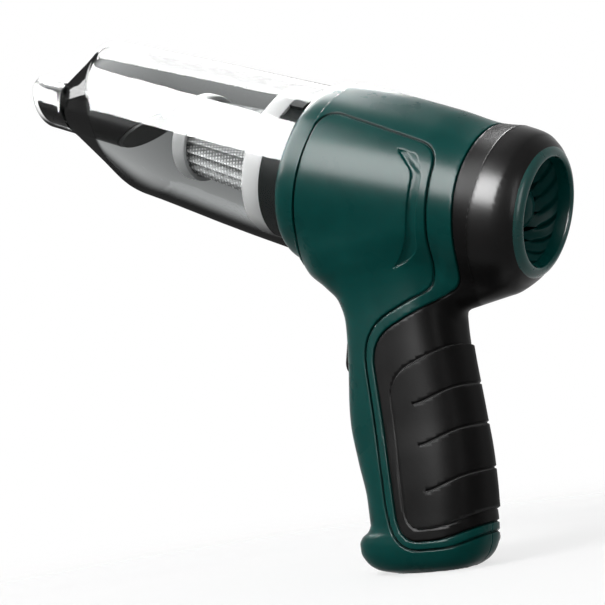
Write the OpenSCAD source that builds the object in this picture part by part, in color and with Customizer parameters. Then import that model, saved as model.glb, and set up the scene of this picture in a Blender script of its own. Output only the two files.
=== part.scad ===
// Handheld vacuum blower: clear dust cup, moulded pistol housing, rear blower port

/* [Barrel] */
// Tilt of the barrel axis, nose up, in degrees
barrel_tilt = 25.4; // [24:0.2:27]
// Distance of the collar centre in front of the base centre
collar_reach = 29.6; // [28:0.2:31]
// Height of the collar centre above the base
collar_height = 155.2; // [154:0.2:157]
// Outer radius of the front collar
collar_r = 35.6; // [35.4:0.1:35.8]
// Length of the collar along the barrel axis
collar_len = 8.2; // [7.8:0.1:8.4]
// Distance from the collar's front to the seam of the rear cover
seam_s = 69.5; // [68.5:0.5:70.5]
// Radius of the barrel at that seam
seam_r = 29; // [28.6:0.2:29.6]
// Rise of the barrel's centre at that seam
seam_rise = 5.6; // [5.2:0.2:6]

/* [Dust cup] */
// Outer radius of the cup at the collar
cup_r = 32.9; // [32.7:0.1:33]
// Loss of radius per millimetre towards the nose
cup_draft = 0.026; // [0.024:0.001:0.028]
// Wall thickness of the cup
cup_wall = 2; // [1.8:0.1:2.1]
// Length from the collar's front to the shoulder
shoulder_s = 103.2; // [100:0.4:106]
// Slant of the shoulder and of the nose, as rise over run
nose_slant = 0.54; // [0.48:0.02:0.58]
// Outer radius of the nose tube
nose_r = 10.25; // [10.1:0.05:10.5]
// Bore radius of the nose tube
nose_bore_r = 8.75; // [8.7:0.05:8.8]
// Length from the collar's front to the nose's mouth
nose_s = 152.3; // [150:0.5:155]
// Drop of the nose's axis below the barrel axis
nose_drop = 3.8; // [3.4:0.2:4.2]
// How far the cup turns on its bayonet, in degrees
bayonet_turn = 18; // [12:1:20]

/* [Filter] */
// Number of pleats
pleat_count = 22; // [18:1:36]
// Outer radius of the pleats at the front
pleat_r = 17; // [16:0.5:17.5]
// Radius of the filter's rear flange
flange_r = 29.9; // [29:0.1:29.9]

/* [Grip] */
// Wall thickness of the housing shells
shell_wall = 2.2; // [2:0.1:2.4]
// Thickness of the black cover on the grip and the rear
cover_t = 1.8; // [1.6:0.1:2]
// How far the ribbed pad stands proud of the cover
pad_t = 1; // [0.8:0.1:1.2]
// Squareness of the grip's cross-section (2 is an ellipse)
grip_squareness = 2.8; // [2.4:0.1:3.2]
// Travel of the power button
button_travel = 1.5; // [1:0.1:1.6]

/* [Blower] */
// Inner radius of the exhaust opening
exhaust_r = 19.8; // [19.4:0.1:20]
// Upward tilt of the exhaust against the barrel axis, in degrees
exhaust_tilt = 6.7; // [6:0.1:7.4]
// Number of swirl slots in the exhaust bowl
slot_count = 16; // [10:1:18]
// Number of impeller blades
blade_count = 9; // [7:1:11]

/* [Hidden] */
$fn = 48;
hull_fn = 36;
gap = 0.3;
seat_gap = 0.05;
far = 300;

// Barrel outline: [distance behind the collar's front, radius, rise of centre, slant, setback per inset]
barrel_rings = [
    [collar_len - 0.5, collar_r, 0.6, 0, 0],
    [28, collar_r - 1.6, 2.2, 0, 0],
    [50, collar_r - 4.1, 4.1, 0, 0],
    [seam_s, seam_r, seam_rise, 0, 0]
];

// Barrel cavity, narrower at the seam where the rear cover sits on the shells
cavity_barrel_rings = concat(
    [for (i = [0:2]) barrel_rings[i]],
    [[seam_s, seam_r - cover_t, seam_rise, 0, 0]]
);

// Rear cover outline, in the same terms
rear_rings = [
    [seam_s - 1, seam_r, seam_rise, 0, 0],
    [seam_s + 8.5, seam_r + 0.3, seam_rise + 0.7, 0.026, 0.5],
    [seam_s + 15.5, seam_r - 0.9, seam_rise + 1.3, 0.061, 0.5],
    [seam_s + 20.5, seam_r - 3.5, seam_rise + 1.7, 0.096, 0.5],
    [seam_s + 23.5, seam_r - 6.7, seam_rise + 2, tan(exhaust_tilt), 0.5]
];
// Keel of the rear cover, between the grip and the exhaust
chin_rings = [
    [seam_s - 6, 12, -28.5, 0, 0],
    [seam_s + 22, 10, -12.3, 0, 0.5]
];
exhaust_s = seam_s + 23;
bezel_r = exhaust_r + 2.2;
bezel_depth = 6;
grille_rim_h = 2;
grille_rim_t = 1;
exhaust_rise = seam_rise + 2;

// Grip outline: [height, front, back, half width]
grip_rings = [
    [0, -21, 10, 12],
    [2, -28.5, 13.5, 15.5],
    [5, -32.2, 16.2, 17.5],
    [9, -34, 17.8, 18.7],
    [12, -33.8, 18.2, 19],
    [15.5, -30.8, 18.4, 19],
    [19, -28, 18.4, 18.9],
    [28, -28, 19, 18.7],
    [42, -29.8, 19.5, 18.2],
    [56, -31.2, 19, 17.6],
    [84, -27.8, 17.5, 18.2],
    [96, -26.8, 18, 18.8],
    [104, -28.4, 19.5, 20],
    [110, -32, 21.5, 21.8],
    [116, -35.4, 25, 24.5],
    [124, -32, 30, 27],
    [134, -24, 34, 27]
];
// Rings that the grip's cavity follows
cavity_rings = [for (i = [3, 6, 8, 9, 10, 11, 13, 14, 15, 16]) grip_rings[i]];
grip_floor_z = 3;

// Cup, seat and filter, along the barrel axis
cup_tail_s = 5;
collar_bore_r = 33.4;
seat_front_s = -11.8;
seat_tail_s = collar_len + 3.2;
seat_r = 30;
seat_t = 2.5;
air_inlet_r = 9;
gasket_s = 2.2;
lug_s = -4;
lug_count = 3;
lug_arc = 7;
lug_slack = 2;
filter_front_s = -66.3;
cap_len = 7;
flange_front_s = -20.7;
flange_t = 8.7;

// Fan and motor, along the barrel axis
shroud_s = 14;
shroud_r = 26;
fan_s = 18;
fan_len = 9;
plate_s = 31.2;
plate_t = 1.9;
motor_s = plate_s + 2;
motor_len = 32.8;
motor_r = 14;
motor_screw_at = 8;
motor_screw_r = 1;
shaft_front_s = 15.4;
shaft_r = 1.6;
bearing_r = 4.5;
bearing_t = 3;
ring_s = 58;
ring_t = 4;
ring_r = 20;
rib_t = 2.2;

// Inlet tube behind the nose, with its hinge at the slanted inner end
inlet_r = 10;
inlet_bore_r = 7.4;
inlet_slant = 48;
inlet_mid_s = -94;
inlet_step_s = -nose_s + 28;
nose_root_r = nose_r - 0.5;
hinge_up = 15.6;
hinge_out = 2;
flap_t = 1.2;
flap_w = 8.6;
flap_pin_r = 0.9;

// Battery, board and switch in the grip
cell_r = 9.2;
cell_len = 50;
cell_base_z = 15;
cell_front_x = -14.4;
cell_back_x = 4.2;
cradle_t = 1.4;
cradle_y = cell_r + 0.1;
cradle_base_z = cell_base_z - 2;
board_t = 1.6;
board_x = -9.5;
board_y = cradle_y - seat_gap - board_t;
board_z = 84;
board_w = 17.5;
board_h = 15;
button_w = 11;
button_low_z = 76;
button_high_z = 96;
button_back_x = -23.4;
button_flange = 1.4;
button_flange_t = 1.2;
switch_x = -19.6;
switch_z = (button_low_z + button_high_z) / 2 + 2;
switch_d = 6;
switch_w = 8;
plunger_r = 1.5;
plunger_entry = 0.6;
bracket_x = switch_x + switch_d + 0.1;
bracket_t = 1.6;
bracket_h = 10;
bracket_w = 24;
socket_x = -12;
socket_r = 5;
socket_len = 10.4;
socket_z = 0.6;

// Screws through the right shell: [x, z, depth of the head's seat]
screw_sites = [
    [-25, 8.6, 13],
    [11.5, 8.6, 12.5],
    [-19.5, 104, 14],
    concat(on_side(16, 31), 10.5),
    concat(on_side(54, 28.5), 12.5)
];
screw_head_r = 2.6;
screw_head_t = 2;
screw_r = 1.25;
screw_tip_y = -9;
boss_r = 3;

// Side-view outlines, as points of the plane Y = 0
function on_side(s, z) = [
    -collar_reach + s * cos(barrel_tilt) + z * sin(barrel_tilt),
    collar_height - s * sin(barrel_tilt) + z * cos(barrel_tilt)
];
cover_outline = [
    on_side(seam_s, 60), on_side(seam_s, -25), [14, 96.6], [-1.8, 90.4], [-6.7, 86.8],
    [-10, 81.5], [-11.4, 75], [-11.4, 50], [-10.8, 25], [-9, 19.5], [-4.6, 14.6],
    [0.5, 12.4], [8, 12.4], [40, 22], [110, 40], [110, 170]
];
panel_outline = [
    on_side(8.6, -34), on_side(8.6, 13.7), on_side(10.7, 21), on_side(16.4, 23.7),
    on_side(51, 21.5), on_side(56.4, 19.2), on_side(58.6, 14), on_side(60.2, 2),
    on_side(61.6, -16), on_side(63.2, -27), [13.2, 101], [-2, 95.4], [-8, 91.2],
    [-12.8, 85.6], [-14.8, 79], [-14.8, 50], [-14.5, 26], [-13.2, 20.4], [-9.5, 14.6],
    [-4, 10.8], [2, 9.2], [10, 9.2], [40, 20], [40, -10], [-60, -10], [-60, 118]
];
pad_outline = [
    [40, 90.1], [13.3, 79.5], [1.5, 74.9], [-2.5, 72.6], [-5, 69], [-6.2, 63], [-6.6, 43],
    [-6.6, 25], [-5.2, 20.4], [-2.6, 17.6], [1.8, 16.3], [8, 16.3], [40, 27]
];
hook_outline = [
    on_side(51.9, 17.2), on_side(43.9, 17), on_side(48.5, 13.4), on_side(52.3, 10.2),
    on_side(53.2, 4), on_side(54.4, -8), on_side(54.3, -14.5), on_side(52.2, -20.8),
    on_side(50, -25.4), on_side(54.8, -21.6), on_side(58.2, -16.5), on_side(57.6, -6),
    on_side(56.6, 10)
];
// Height of the three grooves of the pad at its front end
pad_grooves = [60.6, 45.4, 28.8];

function superellipse(a, b, p, n = 24) = [
    for (i = [0:n - 1])
        let (c = cos(360 * i / n), d = sin(360 * i / n))
            [a * sign(c) * pow(abs(c), 2 / p), b * sign(d) * pow(abs(d), 2 / p)]
];

module on_barrel() {
    translate([-collar_reach, 0, collar_height])
        rotate([0, barrel_tilt, 0])
            children();
}

module along_axis(s) {
    on_barrel()
        translate([s, 0, 0])
            rotate([0, 90, 0])
                children();
}

module tube(r_out, r_in, len) {
    difference() {
        cylinder(r = r_out, h = len);
        translate([0, 0, -1])
            cylinder(r = r_in, h = len + 2);
    }
}

// Points of a circle across the barrel axis; slant leans its top towards the nose
function disc_points(s, r, rise, slant) = [
    for (i = [0:hull_fn - 1])
        let (z = r * cos(360 * i / hull_fn))
            [s - slant * z, r * sin(360 * i / hull_fn), rise + z]
];

function flat(rings) = [for (ring = rings) for (point = ring) point];

// Convex skin over rings of points
module skin(rings) {
    points = flat(rings);
    hull()
        polyhedron(points, [[for (i = [0:len(points) - 1]) i]]);
}

// Housing forms; inset moves every wall inwards
module ring_skin(rings, inset) {
    on_barrel()
        skin([
            for (ring = rings)
                disc_points(ring[0] - inset * ring[4], ring[1] - inset, ring[2], ring[3])
        ]);
}

module barrel_form(inset) {
    ring_skin(barrel_rings, inset);
}

module rear_form(inset) {
    ring_skin(rear_rings, inset);
}

// Keel that carries the rear cover down to the back of the grip
module chin_form(inset) {
    ring_skin(concat([rear_rings[0], rear_rings[2]], chin_rings), inset);
}

function grip_points(ring, inset) = [
    for (p = superellipse((ring[2] - ring[1]) / 2 - inset, ring[3] - inset, grip_squareness))
        [(ring[1] + ring[2]) / 2 + p[0], p[1], ring[0]]
];

module grip_form(inset, rings = grip_rings) {
    for (i = [0:len(rings) - 2])
        skin([grip_points(rings[i], inset), grip_points(rings[i + 1], inset)]);
}

module body_form(inset) {
    barrel_form(inset);
    rear_form(inset);
    chin_form(inset);
    grip_form(inset);
}

module body_cavity() {
    inset = shell_wall + cover_t;
    floor_ring = [grip_floor_z, grip_rings[1][1], grip_rings[1][2], grip_rings[1][3]];
    ring_skin(cavity_barrel_rings, shell_wall);
    rear_form(inset);
    chin_form(inset);
    grip_form(inset, concat([floor_ring], cavity_rings));
}

module side_prism(depth = far) {
    rotate([90, 0, 0])
        linear_extrude(depth, center = true)
            children();
}

module rounded(r) {
    offset(r = r, $fn = 16)
        offset(r = -2 * r, $fn = 16)
            offset(r = r, $fn = 16)
                children();
}

module cover_region(grow) {
    side_prism()
        offset(delta = grow)
            rounded(3)
                polygon(cover_outline);
}

module panel_groove(width) {
    side_prism()
        difference() {
            offset(delta = width / 2)
                rounded(4)
                    polygon(panel_outline);
            offset(delta = -width / 2)
                rounded(4)
                    polygon(panel_outline);
        }
}

module hook_recess() {
    side_prism()
        polygon(hook_outline);
}

module button_prism(grow, from_x, to_x) {
    corner = button_w / 2;
    mid_z = (button_low_z + button_high_z) / 2;
    translate([from_x, 0, mid_z])
        rotate([90, 0, 90])
            linear_extrude(to_x - from_x)
                hull()
                    for (side = [-1, 1])
                        translate([0, side * ((button_high_z - button_low_z) / 2 - corner)])
                            circle(r = corner + grow, $fn = 32);
}

module screw_path(site, r, from_y, to_y) {
    translate([site[0], from_y, site[1]])
        rotate([-90, 0, 0])
            cylinder(r = r, h = to_y - from_y, $fn = 13);
}

module ring_rib(s, len, r_in) {
    difference() {
        intersection() {
            barrel_form(shell_wall - 0.4);
            along_axis(s)
                cylinder(r = 2 * collar_r, h = len);
        }
        along_axis(s - 1)
            cylinder(r = r_in, h = len + 2, $fn = hull_fn);
    }
}

// Shelf under the battery and slots for the switch bracket, on both side walls
module grip_ribs() {
    shelf_low_z = 11.2;
    shelf_in_y = 4.5;
    slot_in_y = bracket_w / 2 - 2;
    for (side = [-1, 1]) {
        translate([cell_front_x - cell_r / 2, side * (shelf_in_y + far / 2) - far / 2, shelf_low_z])
            cube([cell_back_x - cell_front_x + cell_r, far, cradle_base_z - seat_gap - shelf_low_z]);
        for (x = [bracket_x - seat_gap - rib_t, bracket_x + bracket_t + seat_gap])
            translate([x, side * (slot_in_y + far / 2) - far / 2, switch_z - bracket_h / 2])
                cube([rib_t, far, bracket_h]);
    }
}

// One half of the moulded housing; side is -1 for left and 1 for right
module housing_half(side) {
    groove_w = 0.8;
    groove_depth = 0.7;
    recess_depth = 0.8;
    difference() {
        intersection() {
            union() {
                difference() {
                    body_form(0);
                    body_cavity();
                }
                ring_rib(seat_tail_s + seat_gap, rib_t, seat_r - seat_t / 2);
                ring_rib(fan_s, rib_t, shroud_r + 0.1);
                ring_rib(ring_s, ring_t, ring_r + 0.1);
                intersection() {
                    body_form(shell_wall / 2);
                    union() {
                        for (site = screw_sites)
                            screw_path(site, boss_r, -far / 2, far / 2);
                        grip_ribs();
                    }
                }
            }
            translate([-far / 2, side < 0 ? -far : seat_gap, -far / 2])
                cube([far, far, far * 2]);
        }
        difference() {
            cover_region(seat_gap);
            body_form(cover_t);
        }
        difference() {
            panel_groove(groove_w);
            body_form(groove_depth);
        }
        difference() {
            hook_recess();
            body_form(recess_depth);
        }
        along_axis(-far / 2)
            cylinder(r = 2 * collar_r, h = far / 2 + collar_len + seat_gap);
        on_exhaust(-14)
            cylinder(r = bezel_r + 0.1, h = 40, $fn = hull_fn);
        button_prism(gap, button_back_x - 20, button_back_x + 4);
        button_prism(button_flange + gap, button_back_x - button_flange_t - gap, button_back_x + 4);
        translate([socket_x, 0, -1])
            cylinder(r = socket_r + 0.1, h = socket_len + 2, $fn = hull_fn);
        for (site = screw_sites) {
            screw_path(site, screw_r + 0.1, screw_tip_y - 2, 1);
            screw_path(site, screw_r + 0.4, 0, far / 2);
            screw_path(site, screw_head_r + 0.3, site[2], far / 2);
        }
    }
}

module left_shell() {
    color("#0b3f3a")
        housing_half(-1);
}

module right_shell() {
    color("#0b3f3a")
        housing_half(1);
}

module grip_cover() {
    color("#1e1e1e")
        difference() {
            intersection() {
                body_form(0);
                cover_region(-seat_gap);
            }
            body_form(cover_t - seat_gap);
            on_exhaust(-14)
                cylinder(r = bezel_r + 0.1, h = 40, $fn = hull_fn);
        }
}

module pad_ribs() {
    rib_start_x = 3;
    rib_rise = 8;
    rib_w = 1.2;
    for (z = pad_grooves)
        translate([rib_start_x, -far / 2, z])
            rotate([0, -rib_rise, 0])
                cube([far, far, rib_w]);
}

module grip_pad() {
    rib_floor = 0.3;
    color("#262626")
        difference() {
            intersection() {
                grip_form(-pad_t);
                side_prism()
                    rounded(3)
                        polygon(pad_outline);
            }
            grip_form(-seat_gap);
            difference() {
                pad_ribs();
                grip_form(rib_floor - pad_t);
            }
        }
}

module front_collar() {
    lip_r = 2.4;
    lip_reach = 1;
    flange_in_r = seat_r + 0.6;
    flange_s = cup_tail_s + 0.6;
    color("#0f4a44")
        along_axis(-lip_reach)
            rotate_extrude($fn = 96)
                difference() {
                    union() {
                        translate([collar_r - lip_r, lip_r])
                            circle(r = lip_r, $fn = 32);
                        translate([collar_bore_r, lip_r])
                            square([collar_r - collar_bore_r, collar_len + lip_reach - lip_r]);
                        translate([flange_in_r, flange_s + lip_reach])
                            square([collar_r - flange_in_r, collar_len - flange_s]);
                    }
                    square([collar_bore_r, flange_s + lip_reach]);
                }
}

// Spigot that the cup twists onto; the slots open to the front at the far end of the turn
module cup_seat() {
    rear_flange_r = collar_bore_r - 1.6;
    rear_flange_t = 3;
    web_t = 2;
    groove_w = 2.4;
    slot_w = 3.2;
    slot_low = lug_s - slot_w / 2;
    slot_over = 1;
    lug_room = lug_arc + 2 * lug_slack;
    color("#16211f")
        along_axis(0)
            difference() {
                union() {
                    translate([0, 0, seat_front_s])
                        tube(seat_r, seat_r - seat_t, seat_tail_s - seat_front_s);
                    translate([0, 0, seat_tail_s - rear_flange_t])
                        tube(rear_flange_r, seat_r - 1, rear_flange_t);
                    translate([0, 0, seat_tail_s - web_t])
                        tube(seat_r - 1, air_inlet_r, web_t);
                }
                for (i = [0:lug_count - 1])
                    rotate([0, 0, lug_angle(i) - lug_slack]) {
                        bayonet_slot(bayonet_turn + lug_room + slot_over, slot_low, slot_w);
                        rotate([0, 0, bayonet_turn])
                            bayonet_slot(lug_room, seat_front_s - 1, slot_low + slot_w - seat_front_s + 1);
                    }
                translate([0, 0, gasket_s - groove_w / 2])
                    tube(seat_r + 1, seat_r - 1.4, groove_w);
            }
}

function lug_angle(i) = i * 360 / lug_count + 90 - lug_arc / 2;

// Flat-sided piece of a ring, from the X axis round to an angle
module ring_piece(r_in, r_out, arc) {
    steps = ceil(arc / 6);
    polygon(concat(
        [for (i = [0:steps]) r_in * [cos(arc * i / steps), sin(arc * i / steps)]],
        [for (i = [steps:-1:0]) r_out * [cos(arc * i / steps), sin(arc * i / steps)]]
    ));
}

module bayonet_slot(arc, low, len) {
    depth = 1.5;
    translate([0, 0, low])
        linear_extrude(len)
            ring_piece(seat_r - depth, seat_r + depth, arc);
}

module cup_gasket() {
    cord_r = 0.85;
    color("#101010")
        along_axis(gasket_s)
            rotate_extrude()
                translate([seat_r - 0.5, 0])
                    circle(r = cord_r, $fn = 24);
}

function cup_radius(s) = cup_r + cup_draft * s;

module cup_form(inset, tail_s) {
    shoulder_r = cup_radius(-shoulder_s) - inset;
    on_barrel()
        skin([
            disc_points(tail_s, cup_radius(tail_s) - inset, 0, 0),
            disc_points(-shoulder_s + 7 + inset * 0.2, shoulder_r + 0.2, 0, nose_slant),
            disc_points(-shoulder_s + 3 + inset * 0.4, shoulder_r - 0.5, 0, nose_slant),
            disc_points(-shoulder_s + inset * 0.6, shoulder_r - 1.8, 0, nose_slant),
            disc_points(-nose_s + 17 + inset, nose_root_r - 0.3 - inset * 0.47, -nose_drop, nose_slant)
        ]);
}

module nose_frame(s) {
    along_axis(s)
        translate([nose_drop, 0, 0])
            children();
}

// All that lies in front of the nose's slanted mouth, or of a plane set back from it
module mouth_front(setback) {
    nose_frame(-nose_s + setback)
        rotate([0, -atan(nose_slant), 0])
            translate([-far / 2, -far / 2, -far])
                cube(far);
}

module dust_cup() {
    nose_len = 30;
    lead_r = nose_r - 0.15;
    seat_start = nose_slant * nose_r + 0.4;
    seat_end = 11.3;
    root_len = 20;
    lug_t = 2;
    lug_in_r = seat_r - 1.1;
    color("#8a9090", 0.45)
        union() {
            difference() {
                union() {
                    cup_form(0, cup_tail_s);
                    nose_frame(-nose_s - nose_r)
                        cylinder(r = lead_r, h = nose_r + seat_start + 1);
                    nose_frame(-nose_s + seat_start)
                        cylinder(r = nose_r, h = seat_end - seat_start);
                    nose_frame(-nose_s)
                        cylinder(r = nose_root_r, h = root_len);
                }
                cup_form(cup_wall, cup_tail_s + 1);
                nose_frame(-nose_s - nose_len)
                    cylinder(r = nose_bore_r, h = 2 * nose_len);
                mouth_front(0);
            }
            along_axis(lug_s - lug_t / 2)
                for (i = [0:lug_count - 1])
                    rotate([0, 0, lug_angle(i)])
                        linear_extrude(lug_t)
                            ring_piece(lug_in_r, cup_radius(lug_s) - cup_wall / 2, lug_arc);
        }
}

// Frame of the inlet tube's slanted inner end: origin on the tube axis, X out of the tube
module inlet_end() {
    on_barrel()
        translate([inlet_mid_s, 0, -nose_drop])
            rotate([0, inlet_slant, 0])
                children();
}

module hinge_cylinder(r, len) {
    inlet_end()
        translate([hinge_out, len / 2, hinge_up])
            rotate([90, 0, 0])
                cylinder(r = r, h = len);
}

module inlet_tube() {
    plug_len = 43;
    mouth_setback = 1.4;
    ear_t = 1.8;
    ear_at = flap_w / 2 + 1.3;
    ear_top = hinge_up + 1.8;
    ear_root = 9;
    ear_back = -3;
    ear_clear = 1.4;
    color("#141414")
        difference() {
            union() {
                difference() {
                    union() {
                        nose_frame(-nose_s - nose_r)
                            cylinder(r = nose_bore_r - seat_gap, h = plug_len);
                        nose_frame(inlet_step_s)
                            cylinder(r = inlet_r, h = 60);
                    }
                    inlet_end()
                        translate([0, -far / 2, -far / 2])
                            cube(far);
                    mouth_front(mouth_setback);
                }
                inlet_end()
                    for (side = [-1, 1])
                        translate([ear_back, side * ear_at - ear_t / 2, 0]) {
                            translate([0, 0, ear_root])
                                cube([-ear_back, ear_t, ear_top - ear_root]);
                            translate([0, 0, hinge_up - ear_clear])
                                cube([hinge_out + 1.8 - ear_back, ear_t, ear_top - hinge_up + ear_clear]);
                        }
            }
            nose_frame(-nose_s - nose_r)
                cylinder(r = inlet_bore_r, h = nose_s);
            hinge_cylinder(flap_pin_r + 0.01, 20);
        }
}

module flap_pin() {
    color("#b0b0b0")
        hinge_cylinder(flap_pin_r, flap_w + 5);
}

module inlet_flap() {
    knuckle_r = 1.7;
    ear_relief = 2;
    color("#4a4f4d")
        difference() {
            union() {
                intersection() {
                    nose_frame(inlet_step_s)
                        cylinder(r = inlet_r - 0.3, h = far);
                    inlet_end()
                        translate([gap, -far / 2, -far / 2])
                            cube([flap_t, far, far]);
                }
                inlet_end()
                    translate([gap, -flap_w / 2, hinge_up - 4])
                        cube([flap_t, flap_w, 4]);
                hinge_cylinder(knuckle_r, flap_w);
            }
            hinge_cylinder(flap_pin_r + seat_gap, 20);
            inlet_end()
                for (side = [-1, 1])
                    translate([-far / 2, side * (flap_w / 2 + far / 2) - far / 2, hinge_up - ear_relief])
                        cube(far);
        }
}

module filter_cap() {
    edge_r = 2;
    disc_t = 2;
    color("#f2f2f0")
        along_axis(filter_front_s)
            rotate_extrude()
                union() {
                    translate([0, edge_r / 2])
                        square([pleat_r + 1 - edge_r, disc_t]);
                    translate([pleat_r + 1 - edge_r, edge_r])
                        circle(r = edge_r, $fn = 32);
                    translate([pleat_r - 1, edge_r])
                        square([2, cap_len - edge_r]);
                }
}

// Star-shaped tube of folded mesh, wider towards the rear
module filter_pleats() {
    fold = 3.4;
    mesh_t = 1;
    start = 4.1;
    front_r = pleat_r - 1.4;
    spread = 1.16;
    color("#9a9c9c")
        along_axis(filter_front_s + start)
            linear_extrude(flange_front_s - filter_front_s - start - 0.1, scale = spread)
                difference() {
                    pleat_star(front_r, fold);
                    pleat_star(front_r - mesh_t, fold);
                }
}

module pleat_star(r, fold) {
    polygon([
        for (i = [0:2 * pleat_count - 1])
            (i % 2 == 0 ? r : r - fold) * [cos(180 * i / pleat_count), sin(180 * i / pleat_count)]
    ]);
}

// White rear flange of the filter, with the spigot that pushes into the seat
module filter_frame() {
    edge_r = 1.5;
    web_t = 2;
    outlet_r = 14;
    wall = 1.8;
    spigot_r = seat_r - seat_t - 0.1;
    spigot_len = 4;
    color("#f4f4f2")
        along_axis(flange_front_s)
            rotate_extrude($fn = 96)
                union() {
                    translate([flange_r - edge_r, edge_r])
                        circle(r = edge_r, $fn = 32);
                    polygon([
                        [outlet_r, 0], [flange_r - edge_r, 0], [flange_r, edge_r], [flange_r, flange_t],
                        [spigot_r, flange_t], [spigot_r, flange_t + spigot_len],
                        [spigot_r - wall, flange_t + spigot_len], [spigot_r - wall, flange_t - wall],
                        [flange_r - wall, flange_t - 2 * wall], [flange_r - wall, web_t],
                        [outlet_r, web_t]
                    ]);
                }
}

module on_exhaust(depth) {
    on_barrel()
        translate([exhaust_s, 0, exhaust_rise])
            rotate([0, 90 - exhaust_tilt, 0])
                translate([0, 0, depth])
                    children();
}

// Ring round the exhaust; a recess behind its bore takes the grille's rim
module exhaust_bezel() {
    rim_r = (bezel_r - exhaust_r) / 2;
    bore_start = grille_rim_h + seat_gap;
    color("#0f4a44")
        on_exhaust(-bezel_depth)
            rotate_extrude($fn = 96)
                union() {
                    translate([exhaust_r, bore_start])
                        square([2 * rim_r, bezel_depth + 0.2 - bore_start]);
                    translate([exhaust_r + grille_rim_t, 0])
                        square([2 * rim_r - grille_rim_t, bezel_depth]);
                    translate([exhaust_r + rim_r, bezel_depth + 0.2])
                        circle(r = rim_r, $fn = 32);
                }
}

// Bowl behind the exhaust ring, with slots that swirl around its wall
module exhaust_grille() {
    depth = 11;
    floor_r = 11;
    wall = 1.5;
    rim_r = exhaust_r + grille_rim_t - seat_gap;
    top = depth + grille_rim_h;
    hub_r = 8.8;
    hub_h = 7.5;
    slot_w = 2;
    slot_mid = 6.3;
    slot_len = 6.4;
    slot_lean = 24;
    slot_pitch = 38;
    color("#0a332f")
        on_exhaust(-bezel_depth - depth)
            difference() {
                rotate_extrude($fn = 96)
                    polygon([
                        [0, 0], [floor_r + wall, 0], [rim_r, depth], [rim_r, top],
                        [rim_r - grille_rim_t, top], [rim_r - grille_rim_t, depth], [floor_r, wall],
                        [hub_r, wall], [hub_r * 0.96, wall + hub_h * 0.4],
                        [hub_r * 0.82, wall + hub_h * 0.72], [hub_r * 0.58, wall + hub_h * 0.91],
                        [hub_r * 0.3, wall + hub_h * 0.99], [0, wall + hub_h]
                    ]);
                for (i = [0:slot_count - 1])
                    rotate([0, 0, i * 360 / slot_count])
                        translate([(floor_r + rim_r) / 2, 0, slot_mid])
                            rotate([slot_lean, 0, 0])
                                rotate([0, slot_pitch, 0])
                                    cube([depth, slot_w, slot_len], center = true);
            }
}

module fan_shroud() {
    wall = 1.6;
    rim_z = plate_s - shroud_s - 0.1;
    color("#2b2f30")
        along_axis(shroud_s)
            rotate_extrude()
                polygon([
                    [air_inlet_r, 0], [air_inlet_r + 1, -wall], [air_inlet_r + 3, 0], [shroud_r, 0],
                    [shroud_r, rim_z], [shroud_r - wall, rim_z], [shroud_r - wall, wall],
                    [air_inlet_r + wall, wall]
                ]);
}

module impeller() {
    hub_r = 5;
    fan_r = 21.5;
    disc_t = 1.4;
    arc_r = 14;
    blade_t = 1.2;
    color("#c9ccce")
        along_axis(fan_s)
            difference() {
                union() {
                    cylinder(r = hub_r, h = fan_len);
                    translate([0, 0, fan_len - disc_t])
                        cylinder(r = fan_r, h = disc_t);
                    intersection() {
                        tube(fan_r - gap, hub_r - 0.5, fan_len);
                        for (i = [0:blade_count - 1])
                            rotate([0, 0, i * 360 / blade_count])
                                translate([2 * hub_r, arc_r - 2.6, 0])
                                    difference() {
                                        tube(arc_r, arc_r - blade_t, fan_len - 0.5);
                                        translate([-far / 2, 0, -1])
                                            cube(far);
                                        translate([-far - 6, -far / 2, -1])
                                            cube(far);
                                    }
                    }
                }
                translate([0, 0, -1])
                    cylinder(r = shaft_r + 0.01, h = fan_len + 2);
            }
}

module impeller_nut() {
    nut_r = 3.2;
    nut_t = 2;
    color("#a08a50")
        along_axis(fan_s - nut_t - 0.1)
            difference() {
                cylinder(r = nut_r, h = nut_t, $fn = 6);
                translate([0, 0, -1])
                    cylinder(r = shaft_r + 0.01, h = nut_t + 2);
            }
}

module motor_shaft() {
    color("#d0d0d0")
        along_axis(shaft_front_s)
            cylinder(r = shaft_r, h = motor_s + motor_len - 0.2 - shaft_front_s);
}

module bearing() {
    tube(bearing_r - seat_gap, shaft_r + 0.02, bearing_t);
}

module front_bearing() {
    color("#b8b8b8")
        along_axis(motor_s + 0.1)
            bearing();
}

module rear_bearing() {
    color("#b8b8b8")
        along_axis(motor_s + motor_len - bearing_t - 0.1)
            bearing();
}

module motor_can() {
    seat_len = bearing_t + 0.2;
    color("#9a9a9a")
        along_axis(motor_s)
            difference() {
                cylinder(r = motor_r, h = motor_len);
                translate([0, 0, -1])
                    cylinder(r = bearing_r, h = seat_len + 1);
                translate([0, 0, motor_len - seat_len])
                    cylinder(r = bearing_r, h = seat_len + 1);
                translate([0, 0, -1])
                    cylinder(r = shaft_r + 0.8, h = motor_len + 2);
                for (side = [-1, 1])
                    translate([side * motor_screw_at, 0, -1])
                        cylinder(r = motor_screw_r + seat_gap, h = 6);
            }
}

module motor_end_cap() {
    cap_t = 3;
    tab = [2.4, 0.6, 5];
    tab_at = 8;
    color("#e6e6e0")
        along_axis(motor_s + motor_len + 0.1) {
            difference() {
                cylinder(r = motor_r - 0.4, h = cap_t);
                translate([0, 0, -1])
                    cylinder(r = 2 * shaft_r, h = cap_t);
            }
            for (side = [-1, 1])
                translate([-tab[0] / 2, side * tab_at - tab[1] / 2, cap_t - 0.5])
                    cube(tab);
        }
}

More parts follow.
